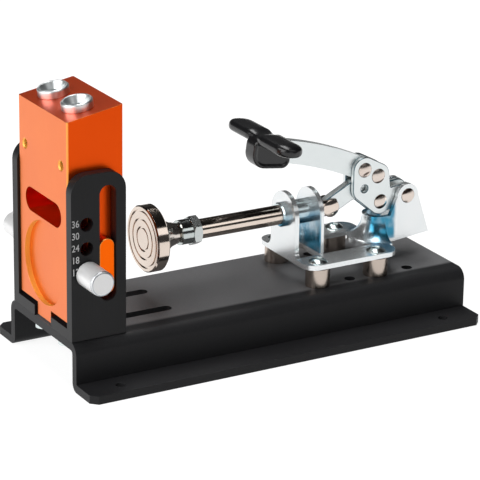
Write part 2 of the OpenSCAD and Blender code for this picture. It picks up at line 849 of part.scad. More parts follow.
// Cross pin: a headed stub in each side of the fork, clear of the link between them
module plunger_pin() {
    color("gray") on_both_sides([pin_x, axis_z], lever_in) {
        cylinder(d = plunger_pin_d - 2 * press, h = fork_w / 2 - lever_in);
        translate([0, 0, fork_w / 2 - lever_in]) dome(pin_head_d, rivet_head_h);
    }
}

module jam_nut() {
    color("powderblue") translate([nut_x, 0, axis_z]) rotate([0, 90, 0]) difference() {
        intersection() {
            cylinder(d = jam_af / cos(30), h = jam_t, $fn = 6);
            rotate_extrude() polygon([
                [0, 0], [jam_af / 2, 0], [jam_af / cos(30) / 2, edge_cut],
                [jam_af / cos(30) / 2, jam_t - edge_cut], [jam_af / 2, jam_t], [0, jam_t]
            ]);
        }
        translate([0, 0, -over]) cylinder(d = spindle_d + 2 * fit, h = jam_t + 2 * over);
    }
}

// Turned spindle: ball, neck, cone, collar and thread
module pad_spindle() {
    neck_r = ball_d / 4;
    color("burlywood") {
        turned_x(cone_x, axis_z) polygon([
            [0, 0], [cone_d1 / 2 - edge_cut, 0], [cone_d1 / 2, edge_cut], [cone_mid / 2, cone_l / 2],
            [cone_d0 / 2, cone_l], [shoulder_d / 2, cone_l], [shoulder_d / 2, cone_l + shoulder_l],
            [spindle_d / 2, cone_l + shoulder_l], [spindle_d / 2, cone_l + shoulder_l + spindle_l],
            [0, cone_l + shoulder_l + spindle_l]
        ]);
        translate([ball_x, 0, axis_z]) rotate([0, 90, 0]) cylinder(r = neck_r, h = cone_x - ball_x + over);
        translate([ball_x, 0, axis_z]) sphere(d = ball_d);
    }
}

// Pressure pad: grooved disc with a hub that holds the ball
module pad() {
    l = hub_x - face_x;
    color("tan") difference() {
        turned_x(face_x, axis_z) polygon([
            [0, 0], [pad_d / 2 - edge_cut, 0], [pad_d / 2, edge_cut], [pad_d / 2, pad_t - edge_cut],
            [pad_d / 2 - edge_cut, pad_t], [hub_d / 2, pad_t], [hub_d / 2, l], [0, l]
        ]);
        for (i = [0 : ring_count - 1])
            turned_x(face_x, axis_z) translate([ring_first + i * ring_pitch, -over])
                square([ring_w, ring_depth + over]);
        translate([ball_x, 0, axis_z]) sphere(r = ball_d / 2 + hub_fit);
        translate([ball_x, 0, axis_z]) rotate([0, 90, 0])
            cylinder(r1 = ball_d / 4, r2 = ball_d / 2, h = hub_x - ball_x + over);
    }
}

// Lever plate outline: lobes around the bar's rivets, the open hole, the link pivot and the lever pivot
module lever_2d() {
    ring = [rivet_a, rivet_b, link_p, lever_hole];
    difference() {
        union() {
            for (i = [0 : 3])
                link_2d(ring[i], ring[(i + 1) % 4], lever_lobe_r);
            polygon(ring);
            link_2d(link_p, pivot_p, cheekplate_r - side_gap);
        }
        for (p = [rivet_a, rivet_b, link_p])
            translate(p) circle(d = rivet_d - 2 * fit + 2 * press);
        translate(lever_hole) circle(d = lever_hole_d);
        translate(pivot_p) circle(d = rivet_d);
    }
}

module front_lever() {
    color("azure") plate_y(-lever_out, -lever_in) lever_2d();
}

module rear_lever() {
    color("azure") plate_y(lever_in, lever_out) lever_2d();
}

// Curved flat bar between the lever plates
module handle_bar() {
    mid = 90 - bar_slope;
    color("lightgray") plate_y(-lever_in, lever_in) difference() {
        union() {
            translate([curve_x, curve_z])
                sector_2d(bar_curve_r, bar_h, mid - bar_back_turn, mid + bar_turn);
            translate(rivet_b) circle(d = bar_h);
        }
        for (p = [rivet_a, rivet_b])
            translate(p) circle(d = rivet_d - 2 * fit + 2 * press);
    }
}

module handle_rivets() {
    color("rosybrown") {
        rivet(rivet_a, lever_out);
        rivet(rivet_b, lever_out);
    }
}

// Moulded T grip over the end of the bar
module grip() {
    end = 90 - bar_slope + bar_turn;
    seat = 0.5;
    r = grip_t / 2;
    inner = stem_l - stem_over;
    sag = inner / 2 / bar_curve_r * 180 / PI;
    translate([curve_x, 0, curve_z]) rotate([0, 90 - end, 0]) translate([0, 0, bar_curve_r])
        color("black") difference() {
            union() {
                hull() for (x = [r - stem_over, inner - r], z = [r - stem_drop, bar_h / 2 - r / 2])
                    translate([x, 0, z]) rotate([90, 0, 0])
                        cylinder(r = r, h = stem_w, center = true, $fn = 32);
                for (s = [-1, 1])
                    hull() for (y = [0, s * (grip_l / 2 - r)], x = [-1, 1])
                        translate([grip_back + x * (grip_w / 2 - r), y, bar_h / 2])
                            sphere(y == 0 ? grip_waist / 2 : r, $fn = 24);
            }
            rotate([0, sag, 0]) translate([-seat, -bar_t / 2 - seat, -bar_h / 2 - seat])
                cube([inner + r + over, bar_t + 2 * seat, bar_h + 2 * seat]);
        }
}

// Arched link from the lever to the plunger
module toggle_link() {
    color("lightcyan") translate([pin_x, 0, axis_z]) rotate([0, -link_tilt, 0])
        plate_y(-link_t / 2, link_t / 2) difference() {
            union() {
                link_2d([0, 0], [link_elbow, link_rise], link_band / 2);
                link_2d([link_elbow, link_rise], [link_l, 0], link_band / 2);
                translate([link_l, 0]) circle(lever_lobe_r - clamp_t / 2);
            }
            translate([link_l, 0]) circle(d = rivet_d);
        }
}

module link_rivet() {
    color("rosybrown") rivet(link_p, lever_out);
}

module pivot_rivet() {
    color("rosybrown") rivet(pivot_p, plate_out);
}

base_plate();
front_angle();
rear_angle();
foot_screws();
foot_washers();
guide_block();
slide_keys();
front_bush();
rear_bush();
front_pin();
rear_pin();
clamp_pillars();
clamp_screws();
clamp_washers();
clamp_nuts();
clamp_body();
guide_tube();
plunger();
plunger_pin();
jam_nut();
pad_spindle();
pad();
front_lever();
rear_lever();
handle_bar();
handle_rivets();
grip();
toggle_link();
link_rivet();
pivot_rivet();
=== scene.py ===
"""Looks of the pocket hole jig: finishes, eased edges, moulded grip, scale numbers, camera and studio."""

import json
import math

import bmesh
import bpy
from mathutils import Matrix, Vector


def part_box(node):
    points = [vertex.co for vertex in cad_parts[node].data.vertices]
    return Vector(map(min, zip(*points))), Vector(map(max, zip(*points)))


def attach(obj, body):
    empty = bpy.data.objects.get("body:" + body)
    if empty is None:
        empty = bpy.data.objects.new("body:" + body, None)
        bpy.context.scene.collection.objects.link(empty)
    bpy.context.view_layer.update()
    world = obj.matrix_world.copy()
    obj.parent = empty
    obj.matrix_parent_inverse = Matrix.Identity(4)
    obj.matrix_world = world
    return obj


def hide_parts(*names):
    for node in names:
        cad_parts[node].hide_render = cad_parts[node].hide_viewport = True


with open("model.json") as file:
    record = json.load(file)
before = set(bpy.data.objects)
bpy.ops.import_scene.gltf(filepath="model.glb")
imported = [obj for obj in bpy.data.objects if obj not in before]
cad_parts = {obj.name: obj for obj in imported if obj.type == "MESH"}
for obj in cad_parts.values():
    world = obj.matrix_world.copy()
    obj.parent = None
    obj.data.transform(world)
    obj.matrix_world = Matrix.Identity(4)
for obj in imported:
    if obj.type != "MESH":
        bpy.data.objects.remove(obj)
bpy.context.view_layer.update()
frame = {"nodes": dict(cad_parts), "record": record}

MM = 0.001
NODES = frame["nodes"]
RECORD = frame["record"]
BODY_OF = {node: body for body, names in RECORD["behaviour"]["bodies"].items() for node in names}
SLOT_OF = {part["node"]: part["material_slot"] for part in RECORD["subparts"]}

# Camera, as the photograph was taken: degrees, pixels of a 480 frame, and millimetres.
# The offset is the frame's origin as the camera sees it: right, up and ahead
CAMERA_AZIMUTH = 30.23
CAMERA_ELEVATION = 20.0
CAMERA_ROLL = 0.886
CAMERA_FOCAL_PX = 2623.6
CAMERA_OFFSET = Vector((0.631, -52.947, 1585.1))
CAMERA_CLIP_M = 20
FRAME_PX = 480
SENSOR_MM = 36.0


def make_camera():
    """Camera that stands off to the front left and looks down along the base."""
    az, el, roll = (math.radians(a) for a in (CAMERA_AZIMUTH, CAMERA_ELEVATION, CAMERA_ROLL))
    level = Vector((math.cos(az), -math.sin(az), 0))
    ahead = Vector((math.sin(az) * math.cos(el), math.cos(az) * math.cos(el), -math.sin(el)))
    above = level.cross(ahead)
    right = math.cos(roll) * level + math.sin(roll) * above
    up = math.cos(roll) * above - math.sin(roll) * level
    eye = -(right * CAMERA_OFFSET.x + up * CAMERA_OFFSET.y + ahead * CAMERA_OFFSET.z) * MM
    data = bpy.data.cameras.new("camera")
    data.sensor_width = SENSOR_MM
    data.lens = SENSOR_MM * CAMERA_FOCAL_PX / FRAME_PX
    data.clip_end = CAMERA_CLIP_M
    camera = bpy.data.objects.new("camera", data)
    camera.matrix_world = Matrix((
        (right.x, up.x, -ahead.x, eye.x),
        (right.y, up.y, -ahead.y, eye.y),
        (right.z, up.z, -ahead.z, eye.z),
        (0, 0, 0, 1),
    ))
    bpy.context.scene.collection.objects.link(camera)
    bpy.context.scene.camera = camera


# Node helpers for the finishes

def rgb(r, g, b):
    return (r, g, b, 1.0)


def metres(limits_mm, start=0.0):
    """Millimetres, counted from a start in metres, as metres."""
    return [start + v * MM for v in limits_mm]


class Tree:
    """Short way to build one material's node tree. A value is a socket, or a number or colour."""

    def __init__(self, name):
        self.material = bpy.data.materials.new(name)
        self.material.use_nodes = True
        self.nodes = self.material.node_tree.nodes
        self.links = self.material.node_tree.links
        self.bsdf = self.nodes["Principled BSDF"]
        self.source = self.nodes.new("ShaderNodeTexCoord")
        self.coord = self.source.outputs["Object"]

    def node(self, kind, inputs=None, **settings):
        made = self.nodes.new(kind)
        for key, value in settings.items():
            setattr(made, key, value)
        for key, value in (inputs or {}).items():
            self.put(made.inputs[key], value)
        return made

    def put(self, socket, value):
        if isinstance(value, bpy.types.NodeSocket):
            self.links.new(value, socket)
        else:
            socket.default_value = value

    def shade(self, **inputs):
        """Set the shader's sockets, each by its name with underscores for spaces."""
        for key, value in inputs.items():
            self.put(self.bsdf.inputs[key.replace("_", " ")], value)
        return self.material

    # Places and directions

    def place(self):
        return self.node("ShaderNodeSeparateXYZ", {"Vector": self.coord}).outputs

    def facing(self):
        return self.node("ShaderNodeSeparateXYZ", {"Vector": self.source.outputs["Normal"]}).outputs

    def stretched(self, scale):
        return self.node("ShaderNodeMapping", {"Vector": self.coord, "Scale": scale}).outputs["Vector"]

    def drawn(self, tilt, stretch):
        """Coordinates that are drawn out along X, tilted about Y by some degrees."""
        mapping = self.node("ShaderNodeMapping", {
            "Vector": self.coord, "Rotation": (0, math.radians(tilt), 0), "Scale": (stretch, 1, 1)})
        mapping.vector_type = "TEXTURE"
        return mapping.outputs["Vector"]

    def off_axis(self, y, z):
        """Distance from a line along X."""
        across = self.stretched((0, 1, 1))
        made = self.node("ShaderNodeVectorMath", {0: across, 1: (0, y, z)}, operation="DISTANCE")
        return made.outputs["Value"]

    # Numbers and colours

    def math(self, operation, a, b=0.0):
        return self.node("ShaderNodeMath", {0: a, 1: b}, operation=operation).outputs[0]

    def product(self, first, *others):
        for other in others:
            first = self.math("MULTIPLY", first, other)
        return first

    def remap(self, value, low, high, limits=(0.0, 1.0)):
        """Smooth step from low to high as value goes from the first limit to the second."""
        made = self.node("ShaderNodeMapRange", {
            "Value": value, "From Min": limits[0], "From Max": limits[1], "To Min": low, "To Max": high})
        made.interpolation_type = "SMOOTHSTEP"
        return made.outputs["Result"]

    def rise(self, value, limits):
        """0 up to the first limit, and 1 from the second on."""
        return self.remap(value, 0.0, 1.0, limits)

    def fall(self, value, limits):
        """1 up to the first limit, and 0 from the second on."""
        return self.remap(value, 1.0, 0.0, limits)

    def within(self, value, limits_mm, start=0.0):
        """1 between the two middle limits, and 0 beyond the outer ones."""
        a, b, c, d = metres(limits_mm, start)
        return self.product(self.rise(value, (a, b)), self.fall(value, (c, d)))

    def around(self, value, middle, spread):
        """From spread below middle to spread above it."""
        return self.remap(value, middle - spread, middle + spread)

    def noise(self, size_mm, detail=2.0, vector=None):
        """Noise with spots of about a size."""
        made = self.node("ShaderNodeTexNoise", {
            "Vector": vector or self.coord, "Scale": 1 / (size_mm * MM), "Detail": detail})
        return made.outputs["Fac"]

    def mix(self, factor, a, b):
        made = self.node("ShaderNodeMix", data_type="RGBA")
        self.put(made.inputs[0], factor)
        self.put(made.inputs[6], a)
        self.put(made.inputs[7], b)
        return made.outputs[2]

    def bump(self, height, depth_mm, strength):
        made = self.node("ShaderNodeBump", {
            "Height": height, "Distance": depth_mm * MM, "Strength": strength})
        return made.outputs["Normal"]

    def seen(self):
        """1 for rays that show the background: from the camera, by mirror reflection, or through glass."""
        ray = self.node("ShaderNodeLightPath").outputs
        mirrored = self.math("MAXIMUM", ray["Is Glossy Ray"], ray["Is Transmission Ray"])
        return self.math("MAXIMUM", ray["Is Camera Ray"], mirrored)


# Finishes, one for each slot of the record, and some for single nodes

# A face counts as facing an axis, from not at all to fully, between these values of its normal
FACING = (0.5, 0.95)

# Painted sheen: the base's flat top is painted grey as the reflection of a bright horizon, a little lighter
# towards its right end.
# Where it is grey, in millimetres: from the top down, across it and along it
SHEEN_Z = (-1.2, -0.3)
SHEEN_Y = (-31, -27, 42, 46)
SHEEN_X = (-20, 120)
COAT_BLACK = (rgb(0.012, 0.012, 0.013), rgb(0.024, 0.024, 0.026))
COAT_SHEEN_LEFT = (rgb(0.11, 0.11, 0.113), rgb(0.19, 0.19, 0.194))
COAT_SHEEN_RIGHT = (rgb(0.13, 0.13, 0.133), rgb(0.22, 0.22, 0.224))


def powder_coat():
    """Fine-textured black powder coat, with a grey painted sheen on the base's flat top."""
    t = Tree("powder_coat")
    grain = t.noise(0.55)
    cloud = t.noise(40)
    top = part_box("base_plate")[1].z
    x, y, z = t.place()
    flat = t.product(t.rise(z, metres(SHEEN_Z, top)), t.rise(t.facing()[2], FACING))
    top_sheen = t.mix(t.rise(x, metres(SHEEN_X)), t.mix(grain, *COAT_SHEEN_LEFT), t.mix(grain, *COAT_SHEEN_RIGHT))
    return t.shade(
        Base_Color=t.mix(t.product(flat, t.within(y, SHEEN_Y)), t.mix(grain, *COAT_BLACK), top_sheen),
        Roughness=t.remap(cloud, 0.44, 0.52),
        Specular_IOR_Level=0.2,
        Normal=t.bump(grain, depth_mm=0.09, strength=0.6))


def black_anodised():
    """Satin black anodised angle with faint drawing lines along its height."""
    t = Tree("black_anodised")
    lines = t.noise(0.4, vector=t.stretched((1, 1, 0.02)))
    cloud = t.noise(22)
    return t.shade(
        Base_Color=t.mix(lines, rgb(0.008, 0.008, 0.009), rgb(0.015, 0.015, 0.016)),
        Roughness=t.remap(cloud, 0.36, 0.44),
        Specular_IOR_Level=0.22,
        Normal=t.bump(lines, depth_mm=0.012, strength=0.4))


# Where the guide block's colour differs, in millimetres: the recess and the stop holes from the base's top,
# the chip opening from the block's foot, and all from its middle plane and end face. All of it is painted
# light:
# highlights on the upright edges and the cut walls, and reflected red inside the chip opening
EDGE_MM = 1.2
EDGE_FADE = (0.0, 0.25)
EDGE_SHARE = 0.8
RECESS_Z = 35.5
RECESS_WALL = (24.2, 24.6, 25.1, 25.6)
STOP_HOLE_Y = 23
STOP_HOLE_Z = 101
STOP_HOLE_WALL = (2.2, 2.4, 4.5, 5)
CUT_DEPTH = (3.2, 3.6)
CHIP_X = (0.6, 1.2, 29, 30)
CHIP_Z = (61, 62, 77, 78)
CHIP_HALF_W = (23.5, 24)
FLANK_ORANGE = (rgb(0.75, 0.066, 0.0005), rgb(0.83, 0.082, 0.001))
END_SHEEN_ORANGE = (rgb(0.82, 0.15, 0.004), rgb(0.9, 0.19, 0.008))
HIGHLIGHT_ORANGE = rgb(1.0, 0.42, 0.09)
CUT_HIGHLIGHT_YELLOW = rgb(1.0, 0.68, 0.15)
BOUNCE_RED = rgb(1.0, 0.03, 0.001)


def highlight_edges(t):
    """Share of painted highlight, in paler orange, along the front end's upright edges."""
    low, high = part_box("guide_block")
    x, y, _ = t.place()
    front = t.fall(x, metres((0, EDGE_MM), low.x))
    side = t.rise(t.math("ABSOLUTE", y), metres((-EDGE_MM, 0), high.y))
    return t.remap(t.product(front, side), 0.0, EDGE_SHARE, EDGE_FADE)


def cut_walls(t, end):
    """1 on the wall of the round recess and in the mouths of the stop holes, and 0 on the end faces."""
    end_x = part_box("guide_block")[0].x
    base_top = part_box("base_plate")[1].z
    cut = t.within(t.off_axis(0, base_top + RECESS_Z * MM), RECESS_WALL)
    for side in (-1, 1):
        hole = t.off_axis(side * STOP_HOLE_Y * MM, base_top + STOP_HOLE_Z * MM)
        cut = t.math("MAXIMUM", cut, t.within(hole, STOP_HOLE_WALL))
    near = t.fall(t.place()[0], metres(CUT_DEPTH, end_x))
    return t.product(cut, near, t.math("SUBTRACT", 1.0, end))


def chip_space(t):
    """1 inside the chip opening."""
    low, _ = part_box("guide_block")
    x, y, z = t.place()
    width = t.fall(t.math("ABSOLUTE", y), metres(CHIP_HALF_W))
    return t.product(t.within(z, CHIP_Z, low.z), width, t.within(x, CHIP_X, low.x))


def orange_anodised():
    """Satin orange anodised aluminium; painted highlights make its ends and edges paler and its cut walls
    yellow, a painted reflection makes it redder inside.
    """
    t = Tree("orange_anodised")
    grain = t.noise(0.5, vector=t.stretched((1, 1, 0.08)))
    cloud = t.noise(30)
    facing_x, facing_y, _ = t.facing()
    end = t.rise(t.math("ABSOLUTE", facing_x), FACING)
    flank = t.rise(t.math("ABSOLUTE", facing_y), FACING)
    # The end faces are painted a paler orange: painted sheen of the light that grazes them.
    plain = t.mix(end, t.mix(cloud, *FLANK_ORANGE), t.mix(cloud, *END_SHEEN_ORANGE))
    # Inside the chip opening the orange is painted a brighter red: painted reflection of light between its
    # walls.
    colour = t.mix(highlight_edges(t), t.mix(chip_space(t), plain, BOUNCE_RED), HIGHLIGHT_ORANGE)
    # The wall of the recess and the mouths of the stop holes are painted yellow: a painted highlight.
    cut = cut_walls(t, end)
    return t.shade(
        Base_Color=t.mix(cut, colour, CUT_HIGHLIGHT_YELLOW),
        Metallic=0.85,
        Roughness=t.math("ADD", t.remap(grain, 0.28, 0.38), t.remap(cut, 0.0, 0.3)),
        Specular_IOR_Level=0.2,
        Coat_Weight=t.remap(flank, 0.7, 0.08),
        Coat_IOR=1.3,
        Coat_Roughness=0.34,
        Normal=t.bump(grain, depth_mm=0.01, strength=0.35))


def orange_key():
    """Brighter orange anodised key."""
    t = Tree("orange_key")
    grain = t.noise(0.6)
    return t.shade(
        Base_Color=t.mix(grain, rgb(0.94, 0.115, 0.001), rgb(1.0, 0.15, 0.002)),
        Metallic=0.95,
        Roughness=t.remap(grain, 0.3, 0.4),
        Specular_IOR_Level=0.25,
        Normal=t.bump(grain, depth_mm=0.01, strength=0.3))


# Grain of every bare or plated metal
GRAIN_DEPTH_MM = 0.0025
GRAIN_STRENGTH = 0.4


def plain_metal(name, dark, light, rough, grain_mm=0.5, stretch=(1, 1, 1), metallic=1.0):
    """Metal with soft clouds of colour, and a fine grain in its gloss and surface."""
    t = Tree(name)
    grain = t.noise(grain_mm, vector=t.stretched(stretch))
    cloud = t.noise(18)
    return t.shade(
        Base_Color=t.mix(cloud, dark, light),
        Metallic=metallic,
        Roughness=t.around(grain, rough, 0.05),
        Normal=t.bump(grain, GRAIN_DEPTH_MM, GRAIN_STRENGTH))


# Where the zinc is blue, in millimetres: the tower's side walls, the face of the rear ear, and the tube's
# lower half.
# The blue is laid only where these surfaces lie in shade and mirror dark surroundings: partly the plate's
# own tint, partly painted shade and reflection
BLUE_WALL_X = (80, 88, 101, 103.5)
BLUE_WALL_Y = (2, 6)
BLUE_WALL_Z = (43, 44.5, 64, 72)
BLUE_EAR_X = (44, 45, 46, 47)
BLUE_EAR_Z = (44.2, 45, 52, 80)
BLUE_TUBE_Z = (62, 75)
BLUE_CLOUD = (0.3, 0.6)
BLUE_SHARE = (0.6, 1.0)
ZINC_SHADE_BLUE = (rgb(0.02, 0.2, 0.34), rgb(0.05, 0.32, 0.48))
ZINC_PALE = (rgb(0.84, 0.88, 0.89), rgb(0.93, 0.945, 0.95))
# The tube's zinc is a darker, bluer tone than the plate's: painted shade.
TUBE_PALE = (rgb(0.7, 0.82, 0.85), rgb(0.84, 0.92, 0.94))


def zinc(name, blue_shade_of, pale, rough):
    """Zinc plate that is blue where the given mask says: painted shade and reflection over the plate's blue
    tint.
    """
    t = Tree(name)
    cloud = t.noise(9, detail=3.0)
    tint = t.product(blue_shade_of(t), t.remap(cloud, *BLUE_SHARE, BLUE_CLOUD))
    grain = t.noise(0.45)
    return t.shade(
        Base_Color=t.mix(tint, t.mix(t.noise(14), *pale), t.mix(t.noise(6), *ZINC_SHADE_BLUE)),
        Metallic=0.8,
        Roughness=t.around(grain, rough, 0.04),
        Normal=t.bump(grain, GRAIN_DEPTH_MM, GRAIN_STRENGTH))


def body_shade_blue(t):
    """1 where the clamp's body is painted blue as shade and dark reflection."""
    x, y, z = t.place()
    outside = t.rise(t.math("ABSOLUTE", y), metres(BLUE_WALL_Y))
    wall = t.product(t.within(x, BLUE_WALL_X), t.within(z, BLUE_WALL_Z), outside)
    ear = t.product(t.within(x, BLUE_EAR_X), t.within(z, BLUE_EAR_Z))
    return t.math("MAXIMUM", wall, ear)


def tube_shade_blue(t):
    """1 on the tube's lower half, painted blue as shade and dark reflection."""
    return t.fall(t.place()[2], metres(BLUE_TUBE_Z))


# The spindle is zinc plated behind this place in millimetres, on its collar, and nickel plated on its bell
COLLAR_X = (-44.4, -44.0)


def spindle_plate():
    """Polished nickel on the bell, zinc on the collar."""
    t = Tree("spindle_plate")
    collar = t.rise(t.place()[0], metres(COLLAR_X))
    grain = t.noise(0.5)
    bell = t.mix(t.noise(6), rgb(0.6, 0.55, 0.5), rgb(0.74, 0.69, 0.64))
    return t.shade(
        # The collar's zinc is darker than the other zinc: painted shade.
        Base_Color=t.mix(collar, bell, rgb(0.5, 0.54, 0.53)),
        Metallic=1.0,
        Roughness=t.remap(grain, 0.1, 0.2),
        Normal=t.bump(grain, GRAIN_DEPTH_MM, GRAIN_STRENGTH))


# Painted dark reflections streaked across the rivet heads: millimetres across, tilt in degrees, how far
# drawn out, and their soft edge
STREAK_MM = 4
STREAK_TILT = -18
STREAK_STRETCH = 30
STREAK_EDGE = (0.57, 0.64)


def rivet_nickel():
    """Nickel-plated rivet heads with painted dark reflections streaked across them."""
    t = Tree("rivet")
    grain = t.noise(0.5)
    bands = t.noise(STREAK_MM, detail=0.0, vector=t.drawn(STREAK_TILT, STREAK_STRETCH))
    reflection_streak = t.rise(bands, STREAK_EDGE)
    plate = t.mix(t.noise(18), rgb(0.6, 0.5, 0.44), rgb(0.78, 0.7, 0.64))
    return t.shade(
        Base_Color=t.mix(reflection_streak, plate, rgb(0.12, 0.085, 0.07)),
        Metallic=1.0,
        Roughness=t.remap(grain, 0.17, 0.27),
        Normal=t.bump(grain, GRAIN_DEPTH_MM, GRAIN_STRENGTH))


def grip_vinyl():
    """Glossy black moulded vinyl."""
    t = Tree("grip_vinyl")
    grain = t.noise(0.8)
    cloud = t.noise(12)
    return t.shade(
        Base_Color=t.mix(cloud, rgb(0.006, 0.006, 0.007), rgb(0.011, 0.011, 0.012)),
        Roughness=t.remap(cloud, 0.26, 0.34),
        Specular_IOR_Level=0.4,
        Coat_Weight=0.3,
        Coat_Roughness=0.1,
        Normal=t.bump(grain, depth_mm=0.012, strength=0.25))


def white_print():
    """White printed ink, slightly uneven."""
    t = Tree("white_print")
    grain = t.noise(0.5)
    return t.shade(
        Base_Color=t.mix(grain, rgb(0.7, 0.7, 0.7), rgb(0.86, 0.86, 0.86)),
        Roughness=t.remap(grain, 0.5, 0.62))


FINISHES = {
    "powder_coat": powder_coat(),
    "black_anodised": black_anodised(),
    "orange_anodised": orange_anodised(),
    "orange_key": orange_key(),
    "bush_steel": plain_metal("bush_steel", rgb(0.72, 0.77, 0.78), rgb(0.86, 0.88, 0.88), rough=0.36),
    "bright_aluminium": plain_metal(
        "bright_aluminium", rgb(0.9, 0.9, 0.9), rgb(0.96, 0.96, 0.96), rough=0.42,
        grain_mm=0.4, stretch=(1, 0.05, 1), metallic=0.55),
    "nickel": plain_metal("nickel", rgb(0.64, 0.54, 0.47), rgb(0.78, 0.68, 0.6), rough=0.12),
    "zinc_screw": plain_metal("zinc_screw", rgb(0.6, 0.7, 0.7), rgb(0.78, 0.83, 0.83), rough=0.24),
    "zinc_plate": zinc("zinc_plate", body_shade_blue, ZINC_PALE, rough=0.24),
    "zinc_lever": plain_metal(
        "zinc_lever", rgb(0.74, 0.79, 0.79), rgb(0.82, 0.85, 0.85), rough=0.36, stretch=(0.06, 1, 1)),
    "rivet": rivet_nickel(),
    "grip_vinyl": grip_vinyl(),
}
# Nodes whose finish differs from that of their slot
OWN_FINISH = {
    "guide_tube": zinc("zinc_tube", tube_shade_blue, TUBE_PALE, rough=0.2),
    # The jam nut's zinc is a darker tone than the other zinc: painted shade.
    "jam_nut": plain_metal("shaded_zinc_nut", rgb(0.42, 0.46, 0.46), rgb(0.6, 0.62, 0.61), rough=0.24),
    "pad_spindle": spindle_plate(),
    # The pillars' nickel is darker than the nickel slot: painted reflection of the dark base beside them.
    "clamp_pillars": plain_metal("shaded_nickel", rgb(0.44, 0.37, 0.32), rgb(0.56, 0.48, 0.42), rough=0.24),
}
# Eased edges whose colour differs from the faces beside them: painted highlights in paler orange on the
# block and keys, and painted dark shade on the zinc, rivet and pin edges
# Dark edges on the zinc, rivets and pins: painted shade.
ZINC_EDGE_SHADE = plain_metal(
    "zinc_edge_shade", rgb(0.035, 0.09, 0.12), rgb(0.16, 0.25, 0.29), rough=0.28, grain_mm=0.8)
ORANGE_EDGE_HIGHLIGHT = plain_metal("orange_edge_highlight", HIGHLIGHT_ORANGE, rgb(1.0, 0.5, 0.12), rough=0.35)
RIVET_EDGE_SHADE = plain_metal("rivet_edge_shade", rgb(0.14, 0.1, 0.085), rgb(0.3, 0.23, 0.2), rough=0.25)
TURNED_EDGE_SHADE = plain_metal("turned_edge_shade", rgb(0.4, 0.43, 0.46), rgb(0.6, 0.62, 0.64), rough=0.35)
EDGE_LIGHT_AND_SHADE = {
    "clamp_body": ZINC_EDGE_SHADE, "front_lever": ZINC_EDGE_SHADE, "rear_lever": ZINC_EDGE_SHADE,
    "handle_bar": ZINC_EDGE_SHADE, "toggle_link": ZINC_EDGE_SHADE,
    "guide_block": ORANGE_EDGE_HIGHLIGHT, "slide_keys": ORANGE_EDGE_HIGHLIGHT,
    "handle_rivets": RIVET_EDGE_SHADE, "pivot_rivet": RIVET_EDGE_SHADE, "link_rivet": RIVET_EDGE_SHADE,
    "front_pin": TURNED_EDGE_SHADE, "rear_pin": TURNED_EDGE_SHADE,
}


def finish_of(node):
    return OWN_FINISH.get(node) or FINISHES[SLOT_OF[node]]


# Edges: these nodes are shown with their sharp edges eased by this much, in millimetres
EASED = {
    "base_plate": 0.6, "front_angle": 0.5, "rear_angle": 0.5, "guide_block": 0.4, "slide_keys": 0.5,
    "clamp_pillars": 0.4, "clamp_washers": 0.25, "clamp_nuts": 0.35,
    "foot_washers": 0.25, "foot_screws": 0.35,
    "clamp_body": 0.7, "front_lever": 0.6, "rear_lever": 0.6, "handle_bar": 0.5, "toggle_link": 0.5,
    "handle_rivets": 0.6, "pivot_rivet": 0.6, "link_rivet": 0.6, "plunger_pin": 0.4,
    "clamp_screws": 0.35, "front_pin": 0.5, "rear_pin": 0.5,
    "pad": 0.3, "pad_spindle": 0.3, "plunger": 0.25, "jam_nut": 0.3,
    "front_bush": 0.25, "rear_bush": 0.25,
}
# Steps of a rounding, the material index of the painted edge light and shade, and what counts as one point,
# flat or sharp
EASE_STEPS = 2
EDGE_INDEX = 1
WELD_M = 1e-6
FLAT_ANGLE = math.radians(0.6)
SHARP_ANGLE = math.radians(32)


def shown_as(name, mesh, node):
    """New piece that stands for a CAD node: it rides with the node's body, and the node itself is hidden."""
    piece = bpy.data.objects.new(name, mesh)
    bpy.context.scene.collection.objects.link(piece)
    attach(piece, BODY_OF[node])
    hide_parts(node)
    return piece


def eased_copy(node, width_mm):
    """Copy of a CAD node with flat faces joined and sharp edges rounded."""
    shape = bmesh.new()
    shape.from_mesh(NODES[node].data)
    bmesh.ops.remove_doubles(shape, verts=shape.verts, dist=WELD_M)
    bmesh.ops.dissolve_limit(shape, angle_limit=FLAT_ANGLE, verts=shape.verts, edges=shape.edges)
    mesh = bpy.data.meshes.new(node + "_eased")
    shape.to_mesh(mesh)
    shape.free()
    mesh.materials.append(finish_of(node))
    mesh.shade_smooth()
    piece = shown_as(node + "_eased", mesh, node)
    bevel = piece.modifiers.new("edges", "BEVEL")
    bevel.width = width_mm * MM
    bevel.segments = EASE_STEPS
    bevel.limit_method = "ANGLE"
    bevel.angle_limit = SHARP_ANGLE
    bevel.miter_outer = "MITER_ARC"
    if node in EDGE_LIGHT_AND_SHADE:
        mesh.materials.append(EDGE_LIGHT_AND_SHADE[node])
        bevel.material = EDGE_INDEX
    normals = piece.modifiers.new("normals", "WEIGHTED_NORMAL")
    normals.keep_sharp = True


def dress_nodes():
    """Every CAD node gets its finish, and most are shown with eased edges."""
    for node, shown in NODES.items():
        shown.data.materials.clear()
        shown.data.materials.append(finish_of(node))
    for node, width_mm in EASED.items():
        eased_copy(node, width_mm)


